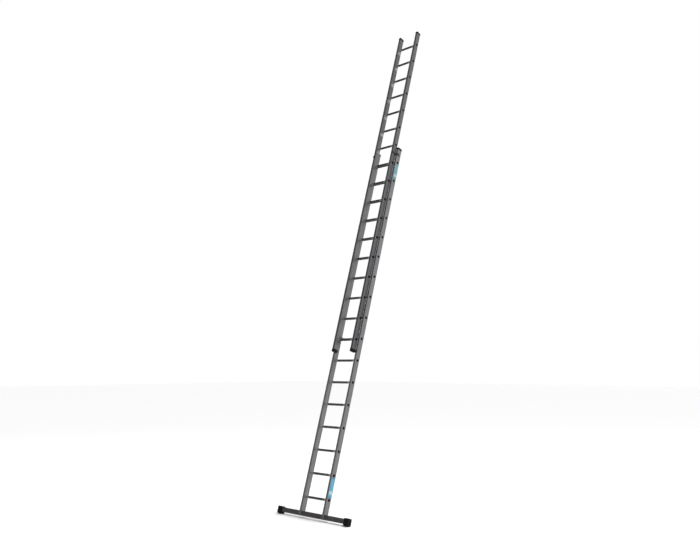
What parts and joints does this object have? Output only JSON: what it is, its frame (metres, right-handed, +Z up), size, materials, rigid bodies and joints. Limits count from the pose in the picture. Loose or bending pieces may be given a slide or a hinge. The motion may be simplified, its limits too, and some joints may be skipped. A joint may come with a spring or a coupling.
{
  "type": "extension ladder",
  "caption": "Two-section push-up extension ladder with box stiles, round rungs, a cross-bar stabiliser and swinging rung hooks, leaning at its working angle.",
  "frame": {"origin": "on the floor, straight below the middle of the base stiles' lower ends, midway between the stiles", "axes": "+Z up, +X along the rungs to the right as seen by the climber, +Y level and away from the climber; the stiles lean 17.2 degrees from +Z towards +Y"},
  "size_m": [1.15, 2.032, 6.596],
  "materials": {
    "stile": "mill-finish box extrusion, satin, slightly dulled",
    "rung": "extruded tube with grip grooves, dull",
    "bar": "ribbed box extrusion, dark satin",
    "cap": "black moulded plastic",
    "foot": "black moulded rubber",
    "bracket": "bent plated strip, dark",
    "hook": "laser-cut plated steel",
    "zinc": "dulled zinc plate",
    "rivet": "set blind rivet",
    "liner": "natural nylon",
    "label": "plain light-blue vinyl sticker with no lettering"
  },
  "bodies": {
    "base": {"base_rung_01": "rung", "base_rung_02": "rung", "base_rung_03": "rung", "base_rung_04": "rung", "base_rung_05": "rung", "base_rung_06": "rung", "base_rung_07": "rung", "base_rung_08": "rung", "base_rung_09": "rung", "base_rung_10": "rung", "base_rung_11": "rung", "base_rung_12": "rung", "base_rung_13": "rung", "base_rung_14": "rung", "base_rung_15": "rung", "base_rung_16": "rung", "base_rung_17": "rung", "base_stile_left": "stile", "base_stile_right": "stile", "base_top_cap_left": "cap", "base_top_cap_right": "cap", "stabiliser_foot_left": "foot", "stabiliser_foot_right": "foot", "guide_bracket_left": "bracket", "guide_bracket_right": "bracket", "stabiliser_bar": "bar", "stabiliser_bolts": "zinc", "stabiliser_washers": "zinc", "lock_nuts": "zinc", "guide_bolts": "zinc", "guide_liners": "liner", "labels": "label"},
    "fly": {"fly_rung_01": "rung", "fly_rung_02": "rung", "fly_rung_03": "rung", "fly_rung_04": "rung", "fly_rung_05": "rung", "fly_rung_06": "rung", "fly_rung_07": "rung", "fly_rung_08": "rung", "fly_rung_09": "rung", "fly_rung_10": "rung", "fly_rung_11": "rung", "fly_rung_12": "rung", "fly_rung_13": "rung", "fly_rung_14": "rung", "fly_rung_15": "rung", "fly_rung_16": "rung", "fly_rung_17": "rung", "fly_stile_left": "stile", "fly_stile_right": "stile", "fly_top_cap_left": "cap", "fly_top_cap_right": "cap", "fly_bottom_cap_left": "cap", "fly_bottom_cap_right": "cap", "hook_plates": "hook", "hook_pins": "zinc", "hook_rivets": "rivet"},
    "hook_left": {"rung_hook_left": "hook"},
    "hook_right": {"rung_hook_right": "hook"}
  },
  "joints": [
    {"name": "fly_slide", "type": "slide", "parent": "base", "child": "fly", "axis": [0, 0.2957, 0.9553], "range_m": [-1.96, 1.68]},
    {"name": "hook_left_swing", "type": "hinge", "parent": "fly", "child": "hook_left", "pos_m": [-0.128, 0.60125, 2.06286], "axis": [1, 0, 0], "range_deg": [0, 33]},
    {"name": "hook_right_swing", "type": "hinge", "parent": "fly", "child": "hook_right", "pos_m": [0.128, 0.60125, 2.06286], "axis": [1, 0, 0], "range_deg": [0, 33]}
  ]
}
